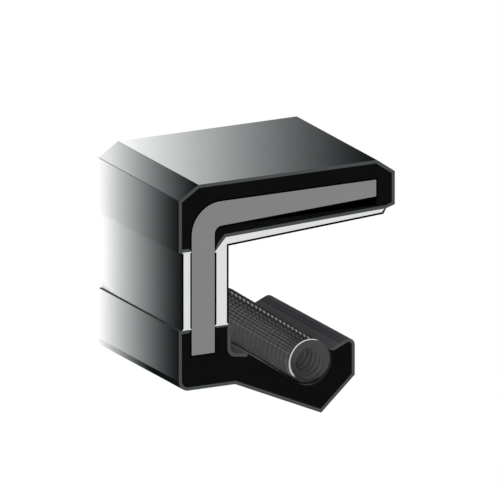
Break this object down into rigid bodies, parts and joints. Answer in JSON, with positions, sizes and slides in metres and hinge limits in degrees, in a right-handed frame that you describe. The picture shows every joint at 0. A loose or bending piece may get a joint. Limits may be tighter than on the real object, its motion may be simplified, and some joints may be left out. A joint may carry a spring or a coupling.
{
  "type": "radial shaft seal",
  "caption": "Section sample of a radial shaft seal: rubber cover and sealing lip on an L-shaped steel case, with light lining layers and a garter spring.",
  "frame": {"origin": "on the outer seat, at mid width and midway between the two saw cuts", "axes": "+X along the shaft's axis from the air side to the oil side, +Y along the ring, +Z radially outwards"},
  "size_m": [0.015, 0.0123, 0.0159],
  "materials": {
    "cover_rubber": "satin",
    "case_steel": "satin",
    "facing_layer": "matt",
    "liner_layer": "matt",
    "lip_rubber": "satin",
    "spring_steel": "dark"
  },
  "bodies": {
    "root": {"outer_cover": "cover_rubber", "steel_case": "case_steel", "case_facing": "facing_layer", "inner_liner": "liner_layer", "sealing_lip": "lip_rubber", "garter_spring": "spring_steel"}
  },
  "joints": []
}
